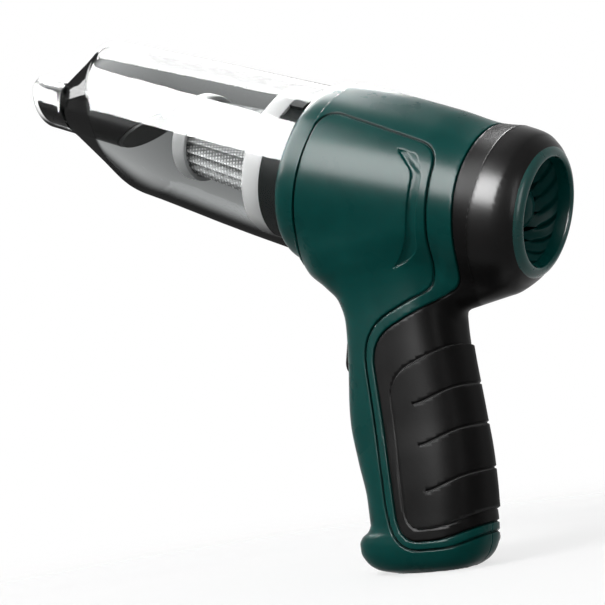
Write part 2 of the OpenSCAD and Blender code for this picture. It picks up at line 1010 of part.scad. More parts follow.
// Plate behind the fan: carries the motor and lets the air pass
module motor_plate() {
    vent_count = 10;
    vent_r = 3.6;
    vent_at = 20;
    color("#2b2f30")
        along_axis(plate_s)
            difference() {
                cylinder(r = shroud_r, h = plate_t);
                translate([0, 0, -1])
                    cylinder(r = bearing_r + 0.5, h = plate_t + 2);
                for (i = [0:vent_count - 1])
                    rotate([0, 0, i * 360 / vent_count])
                        translate([vent_at, 0, -1])
                            cylinder(r = vent_r, h = plate_t + 2);
                for (side = [-1, 1])
                    translate([side * motor_screw_at, 0, -1])
                        cylinder(r = motor_screw_r + gap, h = plate_t + 2);
            }
}

module motor_ring() {
    vent_count = 6;
    vent_r = 1.8;
    color("#202020")
        along_axis(ring_s)
            difference() {
                cylinder(r = ring_r, h = ring_t);
                translate([0, 0, -1])
                    cylinder(r = motor_r + 0.02, h = ring_t + 2);
                for (i = [0:vent_count - 1])
                    rotate([0, 0, i * 360 / vent_count])
                        translate([(motor_r + ring_r) / 2, 0, -1])
                            cylinder(r = vent_r, h = ring_t + 2);
            }
}

module motor_screws() {
    head_r = 1.9;
    head_t = 1;
    color("#8c8c8c")
        along_axis(plate_s - head_t - 0.1)
            for (side = [-1, 1])
                translate([side * motor_screw_at, 0, 0]) {
                    cylinder(r = head_r, h = head_t);
                    cylinder(r = motor_screw_r, h = plate_t + 5);
                }
}

module battery_cells() {
    color("#3b6ea5")
        for (x = [cell_front_x, cell_back_x])
            translate([x, 0, cell_base_z])
                cylinder(r = cell_r, h = cell_len);
}

// Back plate with a shelf at each end of the cells; its top carries the board
module cell_cradle() {
    shelf_y = -7;
    plate_front_x = cell_front_x - cell_r / 2;
    plate_w = cell_back_x - cell_front_x + cell_r;
    plate_h = cell_len + 4;
    color("#1b1b1b")
        union() {
            translate([plate_front_x, cradle_y, cradle_base_z])
                cube([plate_w, cradle_t, plate_h]);
            translate([board_x, cradle_y, cradle_base_z])
                cube([board_w, cradle_t, board_z + board_h + 1 - cradle_base_z]);
            for (z = [cradle_base_z, cradle_base_z + plate_h - cradle_t])
                translate([plate_front_x, shelf_y, z])
                    cube([plate_w, cradle_y + 0.1 - shelf_y, cradle_t]);
        }
}

module cell_contacts() {
    strip = [cell_back_x - cell_front_x + 8, 7, 0.3];
    color("#c8c8c0")
        for (z = [cell_base_z - strip[2] - 0.1, cell_base_z + cell_len + 0.1])
            translate([cell_front_x - 4, -strip[1] / 2, z])
                cube(strip);
}

module control_board() {
    color("#1f6b3a")
        translate([board_x, board_y, board_z])
            cube([board_w, board_t, board_h]);
}

module board_parts() {
    chip = [6, 2, 5];
    coil = [4.5, 3.4, 5];
    fuse = [4, 1.6, 3];
    capacitor_r = 2.2;
    capacitor_h = 5;
    color("#222222")
        translate([board_x, board_y - seat_gap, board_z]) {
            translate([2, -chip[1], 2.5])
                cube(chip);
            translate([11, -coil[1], 2.5])
                cube(coil);
            translate([11, -fuse[1], 10])
                cube(fuse);
            translate([5, 0, 11.4])
                rotate([90, 0, 0])
                    cylinder(r = capacitor_r, h = capacitor_h);
        }
}

// Barrel-plug socket in the base
module charge_socket() {
    plug_bore_r = 2.85;
    plug_depth = 8.8;
    pin_r = 1;
    color("#0d0d0d")
        translate([socket_x, 0, socket_z])
            union() {
                difference() {
                    cylinder(r = socket_r, h = socket_len);
                    translate([0, 0, -1])
                        cylinder(r = plug_bore_r, h = plug_depth + 1);
                }
                cylinder(r = pin_r, h = plug_depth + 0.2);
            }
}

module power_switch() {
    bore_len = plunger_entry + button_travel + 0.8;
    color("#303030")
        difference() {
            translate([switch_x, -switch_w / 2, switch_z - switch_w / 2])
                cube([switch_d, switch_w, switch_w]);
            translate([switch_x - 1, 0, switch_z])
                rotate([0, 90, 0])
                    cylinder(r = plunger_r + gap + 0.1, h = bore_len + 1);
        }
}

module switch_bracket() {
    color("#1b1b1b")
        translate([bracket_x, -bracket_w / 2, switch_z - bracket_h / 2])
            cube([bracket_t, bracket_w, bracket_h]);
}

module switch_plunger() {
    color("#d8d8d0")
        translate([button_back_x + 0.02, 0, switch_z])
            rotate([0, 90, 0])
                cylinder(r = plunger_r, h = switch_x - button_back_x + plunger_entry);
}

// Cap flush with the grip at its top end and proud at its lower end
module power_button() {
    proud_low = 30.9;
    proud_high = 27;
    rake = atan((proud_low - proud_high) / (button_high_z - button_low_z));
    color("#151515")
        difference() {
            union() {
                button_prism(0, -proud_low - 3, button_back_x);
                button_prism(button_flange, button_back_x - button_flange_t, button_back_x);
            }
            translate([-proud_low, 0, button_low_z])
                rotate([0, rake, 0])
                    translate([-far, -far / 2, -far / 2])
                        cube(far);
        }
}

module shell_screws() {
    color("#6e6e6e")
        for (site = screw_sites)
            union() {
                screw_solid(site, screw_head_r, site[2] + seat_gap, site[2] + screw_head_t);
                screw_solid(site, screw_r, screw_tip_y, site[2] + 1);
            }
}

module screw_solid(site, r, from_y, to_y) {
    translate([site[0], from_y, site[1]])
        rotate([-90, 0, 0])
            cylinder(r = r, h = to_y - from_y);
}

dust_cup();
inlet_tube();
inlet_flap();
flap_pin();
filter_cap();
filter_pleats();
filter_frame();
cup_seat();
cup_gasket();
front_collar();
left_shell();
right_shell();
grip_cover();
grip_pad();
exhaust_bezel();
exhaust_grille();
fan_shroud();
impeller();
impeller_nut();
motor_shaft();
front_bearing();
rear_bearing();
motor_can();
motor_end_cap();
motor_plate();
motor_ring();
motor_screws();
battery_cells();
cell_cradle();
cell_contacts();
control_board();
board_parts();
charge_socket();
power_switch();
switch_bracket();
switch_plunger();
power_button();
shell_screws();
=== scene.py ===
import math

import bmesh
import bpy
import numpy as np
from mathutils import Matrix, Vector


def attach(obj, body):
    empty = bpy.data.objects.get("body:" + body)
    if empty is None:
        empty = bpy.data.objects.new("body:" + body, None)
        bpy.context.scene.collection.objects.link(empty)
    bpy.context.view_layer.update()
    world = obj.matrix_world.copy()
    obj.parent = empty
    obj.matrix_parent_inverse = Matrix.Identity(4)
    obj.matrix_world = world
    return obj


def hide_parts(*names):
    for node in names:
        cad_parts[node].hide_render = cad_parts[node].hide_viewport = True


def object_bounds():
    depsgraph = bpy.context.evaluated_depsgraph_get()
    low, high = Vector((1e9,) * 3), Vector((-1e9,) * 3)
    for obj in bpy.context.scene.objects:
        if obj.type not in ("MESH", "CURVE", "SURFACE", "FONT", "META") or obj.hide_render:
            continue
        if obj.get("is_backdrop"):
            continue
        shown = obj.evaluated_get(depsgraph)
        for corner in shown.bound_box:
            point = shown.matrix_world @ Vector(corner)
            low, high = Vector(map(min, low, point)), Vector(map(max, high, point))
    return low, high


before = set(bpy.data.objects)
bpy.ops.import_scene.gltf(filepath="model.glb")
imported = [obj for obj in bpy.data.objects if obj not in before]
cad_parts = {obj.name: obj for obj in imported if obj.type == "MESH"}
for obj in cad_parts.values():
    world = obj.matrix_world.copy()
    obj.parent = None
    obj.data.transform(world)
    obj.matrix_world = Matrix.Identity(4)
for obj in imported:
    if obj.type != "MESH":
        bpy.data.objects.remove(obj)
cad_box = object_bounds()

# Lengths below are in millimetres, in the row frame; pieces are made in metres.
MM = 0.001

# Barrel frame: the axis runs rearwards from the middle of the collar
TILT = math.radians(25.4)
ALONG = np.array([math.cos(TILT), 0, -math.sin(TILT)])
RISE = np.array([math.sin(TILT), 0, math.cos(TILT)])
SIDE = np.array([0.0, 1.0, 0.0])
COLLAR = np.array([-29.6, 0, 155.2])

# Exhaust frame: its axis leans down from the barrel's
EXHAUST_TILT = math.radians(6.7)
EXHAUST_OUT = math.cos(EXHAUST_TILT) * ALONG + math.sin(EXHAUST_TILT) * RISE
EXHAUST_UP = math.cos(EXHAUST_TILT) * RISE - math.sin(EXHAUST_TILT) * ALONG
EXHAUST = COLLAR + 92.5 * ALONG + 7.6 * RISE


def to_barrel(p):
    d = p - COLLAR
    return d @ ALONG, p[:, 1], d @ RISE


def on_side(s, z):
    p = COLLAR + s * ALONG + z * RISE
    return p[0], p[2]


# Smooth curves and blends


def smooth_curve(xs, ys):
    """A monotone cubic through the points, level beyond the ends."""
    xs, ys = np.array(xs, float), np.array(ys, float)
    h = np.diff(xs)
    d = np.diff(ys) / h
    m = np.concatenate([d[:1], np.zeros(len(d) - 1), d[-1:]])
    for i in range(1, len(d)):
        if d[i - 1] * d[i] > 0:
            a, b = 2 * h[i] + h[i - 1], h[i] + 2 * h[i - 1]
            m[i] = (a + b) / (a / d[i - 1] + b / d[i])

    def value(x):
        x = np.clip(x, xs[0], xs[-1])
        i = np.clip(np.searchsorted(xs, x) - 1, 0, len(h) - 1)
        t = (x - xs[i]) / h[i]
        return (
            (1 + 2 * t) * (1 - t) ** 2 * ys[i]
            + t * (1 - t) ** 2 * h[i] * m[i]
            + t * t * (3 - 2 * t) * ys[i + 1]
            + t * t * (t - 1) * h[i] * m[i + 1]
        )

    return value


def blend_min(a, b, k):
    h = np.clip(0.5 + 0.5 * (b - a) / k, 0, 1)
    return b * (1 - h) + a * h - k * h * (1 - h)


def blend_max(a, b, k):
    return -blend_min(-a, -b, k)


def ramp(x, low, high):
    t = np.clip((x - low) / (high - low), 0, 1)
    return t * t * (3 - 2 * t)


def bump(x, half):
    return np.clip(1 - (x / half) ** 2, 0, None) ** 2


# The housing as one smooth body, below zero inside

# The cover bends at the crease, from its band to the dome behind it
CREASE = 77
barrel_s = [7.7, 28, 50, 69.5, 78, 85, 90, 93]
front_r = smooth_curve([7.7, 28, 50, 69.5, 80], [35.6, 34, 31.5, 29, 29.62])
dome_r = smooth_curve([65, CREASE, 85, 90, 93], [31.4, 29.46, 28.1, 25.5, 22.3])
barrel_mid = smooth_curve(barrel_s, [0.6, 2.2, 4.1, 5.6, 6.3, 6.9, 7.3, 7.6])
barrel_slant = smooth_curve([69.5, 78, 85, 90, 93], [0, 0.026, 0.061, 0.096, 0.1175])
chin_top_mid = smooth_curve([63.5, 68.5, 85, 91.5], [2, 5.6, 6.9, -12.3])
chin_top_r = smooth_curve([63.5, 68.5, 85, 91.5], [20, 25.8, 24.9, 9])
grip_z = [0, 2, 5, 9, 12, 14.4, 16.4, 19, 28, 42, 56, 84, 96, 104, 110, 116, 124, 134]
grip_front = smooth_curve(
    grip_z,
    [-21, -28.5, -32.2, -34, -33.9, -32.4, -29.4, -28, -28, -29.8, -31.2, -27.8, -26.8]
    + [-28.4, -32, -35.4, -32, -24],
)
grip_back = smooth_curve(
    grip_z,
    [10, 13.5, 16.2, 17.8, 18.2, 18.4, 18.4, 18.4, 19, 19.5, 19, 17.5, 18, 19.5, 21.5]
    + [25, 30, 34],
)
grip_half = smooth_curve(
    grip_z,
    [12, 15.5, 17.5, 18.7, 19, 19, 18.95, 18.9, 18.7, 18.2, 17.6, 18.2, 18.8, 20, 21.8]
    + [24.5, 27, 27],
)


def along_barrel(p):
    """Reach along the barrel, with the lean of its rear end, and height above its axis."""
    s, _, u = to_barrel(p)
    return s + barrel_slant(s) * (u - barrel_mid(s)), u


def barrel_r(s):
    return np.where(s < CREASE, front_r(s), dome_r(s))


def barrel_field(p):
    s, u = along_barrel(p)
    f = np.hypot(p[:, 1], u - barrel_mid(s)) - barrel_r(s)
    slope = (barrel_r(s + 0.1) - barrel_r(s - 0.1)) / 0.2
    return np.maximum(np.maximum(f / np.hypot(1, slope), s - 93), 7.7 - s)


def chin_field(p):
    s, y, u = to_barrel(p)
    t = np.clip((s - 63.5) / 28, 0, 1)
    low_r, low_mid = 12 - 2 * t, -28.5 + 16.2 * t
    top_r, top_mid = chin_top_r(s), chin_top_mid(s)
    rise = np.maximum(top_mid - low_mid, 0.5)
    lean = np.clip((low_r - top_r) / rise, -0.98, 0.98)
    flat = np.sqrt(1 - lean**2)
    a, b = np.abs(y), u - low_mid
    k = -lean * a + flat * b
    sides = flat * a + lean * b - low_r
    f = np.where(k < 0, np.hypot(a, b) - low_r, sides)
    f = np.where(k > flat * rise, np.hypot(a, b - rise) - top_r, f)
    return blend_max(blend_max(f, 63.5 - s, 2), s - 91.5, 3)


def grip_field(p):
    x, y, z = p[:, 0], np.abs(p[:, 1]), p[:, 2]
    front, back, half = grip_front(z), grip_back(z), grip_half(z)
    a, mid = (back - front) / 2, (back + front) / 2
    u, v = np.abs(x - mid) / a + 1e-6, y / half + 1e-6
    q = u**2.8 + v**2.8
    size = q ** (1 / 2.8)
    steep = q ** (1 / 2.8 - 1) * np.hypot(u**1.8 / a, v**1.8 / half)
    f = (size - 1) / np.maximum(steep, 0.01)
    return np.maximum(np.maximum(f, -z), z - 134)


def body_field(p):
    top = blend_min(barrel_field(p), chin_field(p), 4)
    flare = 5 + 12 * ramp(-p[:, 0], 12, 30)
    return blend_min(top, grip_field(p), flare)


def slope_of(field, p, h=0.05):
    out = np.empty_like(p)
    for k in range(3):
        step = np.zeros(3)
        step[k] = h
        out[:, k] = (field(p + step) - field(p - step)) / (2 * h)
    return out


def onto(field, p, rounds):
    for _ in range(rounds):
        g = slope_of(field, p)
        move = field(p) / np.maximum((g * g).sum(1), 0.05)
        p = p - np.clip(move, -1.2, 1.2)[:, None] * g
    return p


# Surface of a field on a grid, and cuts of it along lines


def net(field, low, counts, step):
    """Triangles over the surface where field is zero; the body is the same on both sides."""
    axes = [a + step * np.arange(n) for a, n in zip(low, counts)]
    grid = np.stack(np.meshgrid(*axes, indexing="ij"), -1)
    near = [np.arange(len(a)) // 4 for a in axes]
    rough = field(grid[::4, ::4, ::4].reshape(-1, 3))
    rough = rough.reshape([i[-1] + 1 for i in near])[np.ix_(*near)]
    inside = rough < 0
    close = np.abs(rough) < 9
    close[:, len(axes[1]) // 2 + 1 :] = False
    inside[close] = field(grid[close]) < 0
    half = len(axes[1]) // 2
    inside[:, half + 1 :] = inside[:, half - 1 :: -1]
    n = np.array(inside.shape)
    count = np.zeros(n - 1, int)
    for i in (0, 1):
        for j in (0, 1):
            for k in (0, 1):
                count += inside[i : n[0] - 1 + i, j : n[1] - 1 + j, k : n[2] - 1 + k]
    active = (count > 0) & (count < 8)
    index = np.full(active.shape, -1)
    index[active] = np.arange(active.sum())
    points = grid[:-1, :-1, :-1][active] + step / 2
    tris = []
    for axis in range(3):
        one, two = (axis + 1) % 3, (axis + 2) % 3
        first = np.take(inside, range(n[axis] - 1), axis)
        second = np.take(inside, range(1, n[axis]), axis)
        at = np.argwhere(first != second)
        ok = (at[:, one] > 0) & (at[:, two] > 0)
        at = at[ok & (at[:, one] < n[one] - 1) & (at[:, two] < n[two] - 1)]
        e1, e2 = np.eye(3, dtype=int)[one], np.eye(3, dtype=int)[two]
        quad = np.stack(
            [index[tuple((at - d).T)] for d in (e1 + e2, e2, 0 * e1, e1)], 1
        )
        out = first[tuple(at.T)]
        quad = np.where(out[:, None], quad, quad[:, ::-1])
        tris += [quad[:, [0, 1, 2]], quad[:, [0, 2, 3]]]
    return onto(field, points, 4), np.vstack(tris)


def cut(points, tris, values, level):
    """Splits the triangles along the line where the points' values pass level."""
    v = np.where(np.abs(values - level) < 0.02, 0, values - level)
    sign = np.sign(v)[tris]
    pairs = [(0, 1), (1, 2), (2, 0)]
    cross = np.stack([sign[:, a] * sign[:, b] < 0 for a, b in pairs], 1)
    n_cross = cross.sum(1)
    edges = np.sort(np.vstack([tris[cross[:, k]][:, list(pairs[k])] for k in range(3)]), 1)
    if not len(edges):
        return points, tris, values
    edges = np.unique(edges, axis=0)
    a, b = edges.T
    t = v[a] / (v[a] - v[b])
    fresh = points[a] + t[:, None] * (points[b] - points[a])
    key = edges[:, 0].astype(np.int64) * len(points) + edges[:, 1]

    def new(i, j):
        k = np.minimum(i, j).astype(np.int64) * len(points) + np.maximum(i, j)
        return len(points) + np.searchsorted(key, k)

    out = [tris[n_cross == 0]]
    for turn in range(3):
        i, j, k = turn, (turn + 1) % 3, (turn + 2) % 3
        two = tris[(n_cross == 2) & ~cross[:, j]]
        if len(two):
            p, q, r = two[:, i], two[:, j], two[:, k]
            m, o = new(p, q), new(p, r)
            out += [np.stack(x, 1) for x in ((p, m, o), (m, q, r), (m, r, o))]
        one = tris[(n_cross == 1) & cross[:, j]]
        if len(one):
            p, q, r = one[:, i], one[:, j], one[:, k]
            m = new(q, r)
            out += [np.stack(x, 1) for x in ((p, q, m), (p, m, r))]
    values = np.append(values, np.full(len(fresh), float(level)))
    return np.vstack([points, fresh]), np.vstack(out), values


def rounded(corners):
    """The outline through corners given as (point, reach of the rounding)."""
    points = [np.array(p, float) for p, _ in corners]
    out = []
    for i, (p, (_, reach)) in enumerate(zip(points, corners)):
        a, b = points[i - 1] - p, points[(i + 1) % len(points)] - p
        la, lb = np.linalg.norm(a), np.linalg.norm(b)
        p0, p2 = p + min(reach, 0.48 * la) * a / la, p + min(reach, 0.48 * lb) * b / lb
        for t in np.linspace(0, 1, 9):
            out.append((1 - t) ** 2 * p0 + 2 * t * (1 - t) * p + t * t * p2)
    return np.array(out)


def outline(points):
    """Signed distance from an outline in the side view, below zero inside."""
    a = np.array(points)
    e = np.roll(a, -1, 0) - a
    a, e = a[(e**2).sum(1) > 1e-9], e[(e**2).sum(1) > 1e-9]
    long2 = (e * e).sum(1)

    def value(p):
        out = np.empty(len(p))
        for start in range(0, len(p), 40000):
            q = p[start : start + 40000]
            wx, wz = q[:, :1] - a[:, 0], q[:, 1:] - a[:, 1]
            t = np.clip((wx * e[:, 0] + wz * e[:, 1]) / long2, 0, 1)
            d2 = (wx - t * e[:, 0]) ** 2 + (wz - t * e[:, 1]) ** 2
            low, high = wz >= 0, wz < e[:, 1]
            left = e[:, 0] * wz - e[:, 1] * wx > 0
            turns = (low & high & left).sum(1) - (~low & ~high & ~left).sum(1)
            d = np.sqrt(d2.min(1))
            out[start : start + 40000] = np.where(turns != 0, -d, d)
        return out

    return value


cover_line = outline(
    rounded(
        [(on_side(68.5, 60), 1), (on_side(68.4, 16), 12), (on_side(72.6, -12), 10)]
        + [(on_side(72.8, -25.6), 3.5), ((-11.4, 86.8), 11), ((-10.4, 11.9), 11.5)]
        + [((7, 11.9), 5), ((40, 21), 1), ((110, 40), 1), ((110, 170), 1)]
    )
)
panel_line = outline(
    rounded(
        [(on_side(8.5, -36), 1), (on_side(8.5, 24.4), 8.5), (on_side(58.3, 21), 8)]
        + [(on_side(63.8, -28.8), 3.5), ((-15, 90.6), 14), ((-14.3, 8.7), 18)]
        + [((10, 8.7), 5), ((40, 19), 1), ((40, -10), 1), ((-60, -10), 1), ((-60, 118), 1)]
    )
)
pad_line = outline(
    rounded(
        [((40, 89.8), 1), ((-6, 72.1), 9.5), ((-6.6, 16.2), 9), ((7, 16.2), 6), ((40, 26), 1)]
    )
)
hook_line = outline(
    rounded(
        [(on_side(43.8, 17), 0.5), (on_side(51.9, 17.3), 2), (on_side(56.6, 10), 4)]
        + [(on_side(57.8, -9), 4), (on_side(58.2, -16.5), 2), (on_side(54.8, -21.8), 3)]
        + [(on_side(49.9, -25.6), 0.5), (on_side(52.3, -20.8), 2), (on_side(54.4, -13), 4)]
        + [(on_side(53.2, 4), 4), (on_side(52.5, 10.2), 2.5), (on_side(47.5, 14.2), 2.5)]
    )
)
hook_wall = smooth_curve(
    [-25.6, -20.8, -13, -6, 4, 10.2, 14.2, 17], [49.9, 52.3, 54.3, 54, 53.2, 52.3, 47.5, 43.8]
)
# Details: half widths of grooves, depths and radii
COVER_GROOVE, COVER_DEPTH = 0.6, 0.85
PANEL_GROOVE, PANEL_DEPTH = 0.7, 0.8
HOOK_DEPTH = 1.1
SEAM_GROOVE, SEAM_DEPTH = 0.3, 0.3
PAD_RISE, PAD_FOOT = 1.3, 0.3
RIB_GROOVE, RIB_DEPTH, RIB_CLIMB = 0.55, 0.75, 5.2
SCREW_R, SOCKET_R, EXHAUST_R = 2.9, 5.1, 22.05
BUTTON_R, BUTTON_HALF, BUTTON_Z, BUTTON_GAP = 5.5, 4.5, 86, 0.3
FRONT_END, COLLAR_R = 8.3, 35.6
rib_starts = [(3.2, 61.3), (3.5, 46.2), (4.2, 29.5)]
screws = [(-25, 8.6), (11.5, 8.6), (-19.5, 104), on_side(16, 31), on_side(54, 28.5)]


def rib_climb(p):
    return RIB_CLIMB * ramp(p[:, 0], 2, 21)


def rib_line(p):
    """Distance from the edge of the nearest groove in the pad, which climbs towards the back."""
    climb = rib_climb(p)
    near = np.full(len(p), 99.0)
    for x, z in rib_starts:
        near = np.minimum(near, np.hypot(np.minimum(p[:, 0] - x, 0), p[:, 2] - z - climb))
    return near - RIB_GROOVE


def rib_on_pad(p):
    return rib_line(p) + np.where(pad_line(side(p)) < -0.5, 0, 50)


def crease_line(p):
    """Reach behind the cover's crease, on the barrel alone."""
    return along_barrel(p)[0] - CREASE + np.where(np.abs(barrel_field(p)) < 1.5, 0, 50)


def button_line(p):
    """Distance from the button's outline, seen from the front."""
    far = np.where(p[:, 0] < -12, 0, 50)
    z = np.maximum(np.abs(p[:, 2] - BUTTON_Z) - BUTTON_HALF, 0)
    return np.hypot(p[:, 1], z) - BUTTON_R + far


def screw_line(p):
    far = np.where(p[:, 1] > 3, 0, 50)
    near = [np.hypot(p[:, 0] - x, p[:, 2] - z) for x, z in screws]
    return np.min(near, axis=0) - SCREW_R + far


def socket_line(p):
    return np.hypot(p[:, 0] + 12, p[:, 1]) - SOCKET_R + np.where(p[:, 2] < 3, 0, 50)


def exhaust_line(p):
    d = p - EXHAUST
    out = d @ EXHAUST_OUT
    return np.hypot(p[:, 1], d @ EXHAUST_UP) - EXHAUST_R + np.where(out > -8, 0, 50)


def side(p):
    return p[:, [0, 2]]


def depth(p):
    """How far the finished surface lies below the plain body."""
    c, q, h = cover_line(side(p)), panel_line(side(p)), hook_line(side(p))
    pad, rib = pad_line(side(p)), rib_line(p)
    d = COVER_DEPTH * bump(c, COVER_GROOVE)
    d = d + PANEL_DEPTH * bump(q, PANEL_GROOVE) * (c > COVER_GROOVE)
    s, _, u = to_barrel(p)
    rising = 1 - 0.85 * ramp(s - hook_wall(u), 0.8, 4.5)
    d = d + HOOK_DEPTH * ramp(-h, -0.15, 0.35) * rising * (c > 0.5)
    d = d + SEAM_DEPTH * bump(p[:, 1], SEAM_GROOVE) * (c > 0.6) * (p[:, 2] > 1)
    ribs = RIB_DEPTH * ramp(-rib, -0.15, 0.35) * ramp(-pad, 1, 2)
    on_pad = PAD_RISE * ramp(-pad, 0, 0.7) - ribs
    d = d - np.where(pad < 0, on_pad - PAD_FOOT, -PAD_FOOT * bump(pad, 0.6))
    d = d + 0.5 * bump(np.maximum(button_line(p) - BUTTON_GAP, 0), 0.6)
    d = d + 0.5 * bump(np.maximum(screw_line(p), 0), 0.4)
    return d


def housing():
    points, tris = net(body_field, (-44.3, -36.8, -1.3), (98, 65, 166), 1.15)

    def level(line, *levels):
        nonlocal points, tris
        values = line(points)
        for value in levels:
            points, tris, values = cut(points, tris, values, value)

    w = COVER_GROOVE
    level(lambda p: cover_line(side(p)), -w, -w / 2, 0, w / 2, w)
    w = PANEL_GROOVE
    level(lambda p: panel_line(side(p)), -w, -w / 2, 0.01, w / 2, w)
    level(lambda p: pad_line(side(p)), -0.7, -0.4, -0.15, 0, 0.5)
    for x, z in rib_starts:
        level(
            lambda p: p[:, 2] - z - rib_climb(p) + np.where(p[:, 0] > x - 1.5, 0, 50),
            0,
        )
    level(rib_on_pad, -0.35, -0.1, 0.15)
    level(crease_line, -0.25, 0, 0.25)
    level(lambda p: hook_line(side(p)), -0.35, -0.1, 0.15)
    level(lambda p: p[:, 1], -0.25, 0, 0.25)
    level(lambda p: to_barrel(p)[0], FRONT_END)
    level(exhaust_line, 0)
    level(button_line, BUTTON_GAP, 0.6, 0.9)
    level(screw_line, 0, 0.3)
    level(socket_line, 0)
    points = onto(body_field, points, 2)
    middle = points[tris].mean(1)
    reach, _, height = to_barrel(middle)
    gone = (
        ((reach < FRONT_END) & (np.hypot(middle[:, 1], height) < COLLAR_R - 0.05))
        | (exhaust_line(middle) < 0)
        | (button_line(middle) < BUTTON_GAP)
        | (screw_line(middle) < 0)
        | (socket_line(middle) < 0)
    )
    kind = np.where(middle[:, 1] < 0, "left_shell", "right_shell").astype(object)
    kind[cover_line(side(middle)) < 0] = "grip_cover"
    kind[pad_line(side(middle)) < 0] = "grip_pad"
    lean = slope_of(body_field, points)
    lean = lean / np.linalg.norm(lean, axis=1)[:, None]
    sunk = depth(points)
    shaped = np.unique(tris[(np.abs(sunk[tris]) > 1e-6).any(1)])
    tilt = np.zeros_like(points)
    tilt[shaped] = slope_of(depth, points[shaped], 0.06)
    normals = lean + tilt - (tilt * lean).sum(1)[:, None] * lean
    normals = normals / np.linalg.norm(normals, axis=1)[:, None]
    finished = points - sunk[:, None] * lean
    for name in ("left_shell", "right_shell", "grip_cover", "grip_pad"):
        own = tris[(kind == name) & ~gone]
        used, local = np.unique(own, return_inverse=True)
        yield name, finished[used], local.reshape(-1, 3), normals[used]


def groove(p):
    """One at the bottom of the grooves around the cover and the side panel, where the shells'
    and the cover's colour is darkened as painted shade.
    """
    c, q = cover_line(side(p)), panel_line(side(p))
    return np.maximum(bump(c, COVER_GROOVE), bump(q, PANEL_GROOVE) * (c > COVER_GROOVE))


def pad_painted_highlight(p):
    """Painted highlight: one along the lower walls of the pad's grooves and, less, along the
    pad's own edge, where the pad's colour is lightened.
    """
    pad = pad_line(side(p))
    below = p[:, 2:] - rib_climb(p)[:, None] - np.array([z for _, z in rib_starts])
    below = np.take_along_axis(below, np.abs(below).argmin(1)[:, None], 1)[:, 0]
    wall = bump(rib_line(p) - 0.02, 0.4) * ramp(-below, 0.1, 0.3) * ramp(-pad, 1, 2)
    return np.maximum(wall, 0.5 * bump(pad + 0.3, 0.4))


# Making pieces


def piece(name, points, faces, body, nodes, slot, normals=None, sharp=40):
    mesh = bpy.data.meshes.new(name)
    mesh.from_pydata((np.asarray(points) * MM).tolist(), [], [list(map(int, f)) for f in faces])
    mesh.update()
    obj = bpy.data.objects.new(name, mesh)
    bpy.context.scene.collection.objects.link(obj)
    if normals is None:
        bm = bmesh.new()
        bm.from_mesh(mesh)
        bmesh.ops.remove_doubles(bm, verts=bm.verts, dist=1e-6)
        bmesh.ops.recalc_face_normals(bm, faces=bm.faces)
        bm.to_mesh(mesh)
        bm.free()
        mesh.shade_smooth()
        mesh.set_sharp_from_angle(angle=math.radians(sharp))
    else:
        mesh.shade_smooth()
        mesh.normals_split_custom_set_from_vertices(normals.tolist())
    mesh.materials.append(finish_of[slot])
    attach(obj, body)
    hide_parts(*nodes)
    return obj


def mark(obj, name, values):
    layer = obj.data.attributes.new(name, "FLOAT", "POINT")
    layer.data.foreach_set("value", np.asarray(values, np.float32))


def turned(profile, at, out, up, count=128, closed=True):
    """Points and faces of a profile of (reach along out, radius) turned about an axis."""
    across = np.cross(out, up)
    angle = np.linspace(0, 2 * math.pi, count, endpoint=False)
    ring = np.cos(angle)[:, None] * up + np.sin(angle)[:, None] * across
    points = np.vstack([at + s * out + r * ring for s, r in profile])
    return points, band(len(profile), count, closed)


def band(rows, count, closed):
    faces = []
    for i in range(rows if closed else rows - 1):
        j = (i + 1) % rows
        for k in range(count):
            m = (k + 1) % count
            faces.append((i * count + k, j * count + k, j * count + m, i * count + m))
    return faces


def arc(mid, r, start, end, n=8):
    return [
        (mid[0] + r * math.cos(math.radians(a)), mid[1] + r * math.sin(math.radians(a)))
        for a in np.linspace(start, end, n)
    ]


# Materials


def nodes_of(name):
    mat = bpy.data.materials.new(name)
    mat.use_nodes = True
    return mat, mat.node_tree.nodes, mat.node_tree.links


def texture(nodes, links, scale, detail=3.0, stretch=None):
    coords = nodes.new("ShaderNodeTexCoord")
    noise = nodes.new("ShaderNodeTexNoise")
    noise.inputs["Scale"].default_value = scale
    noise.inputs["Detail"].default_value = detail
    source = coords.outputs["Object"]
    if stretch:
        mapping = nodes.new("ShaderNodeMapping")
        mapping.inputs["Scale"].default_value = stretch
        links.new(source, mapping.inputs["Vector"])
        source = mapping.outputs["Vector"]
    links.new(source, noise.inputs["Vector"])
    return noise.outputs["Fac"]


def between(nodes, links, fac, low, high):
    span = nodes.new("ShaderNodeMapRange")
    span.inputs["From Min"].default_value = 0.3
    span.inputs["From Max"].default_value = 0.7
    span.inputs["To Min"].default_value = low
    span.inputs["To Max"].default_value = high
    links.new(fac, span.inputs["Value"])
    return span.outputs["Result"]


def tint(nodes, links, fac, low, high):
    """A colour from low to high, each a colour or a socket, as fac goes from nought to one."""
    mix = nodes.new("ShaderNodeMix")
    mix.data_type = "RGBA"
    sockets = {s.identifier: s for s in mix.inputs}
    for key, colour in (("A_Color", low), ("B_Color", high)):
        if isinstance(colour, (tuple, list)):
            sockets[key].default_value = (*colour, 1)
        else:
            links.new(colour, sockets[key])
    links.new(fac, sockets["Factor_Float"])
    return next(s for s in mix.outputs if s.identifier == "Result_Color")


def attribute(nodes, name):
    node = nodes.new("ShaderNodeAttribute")
    node.attribute_name = name
    return node.outputs["Fac"]


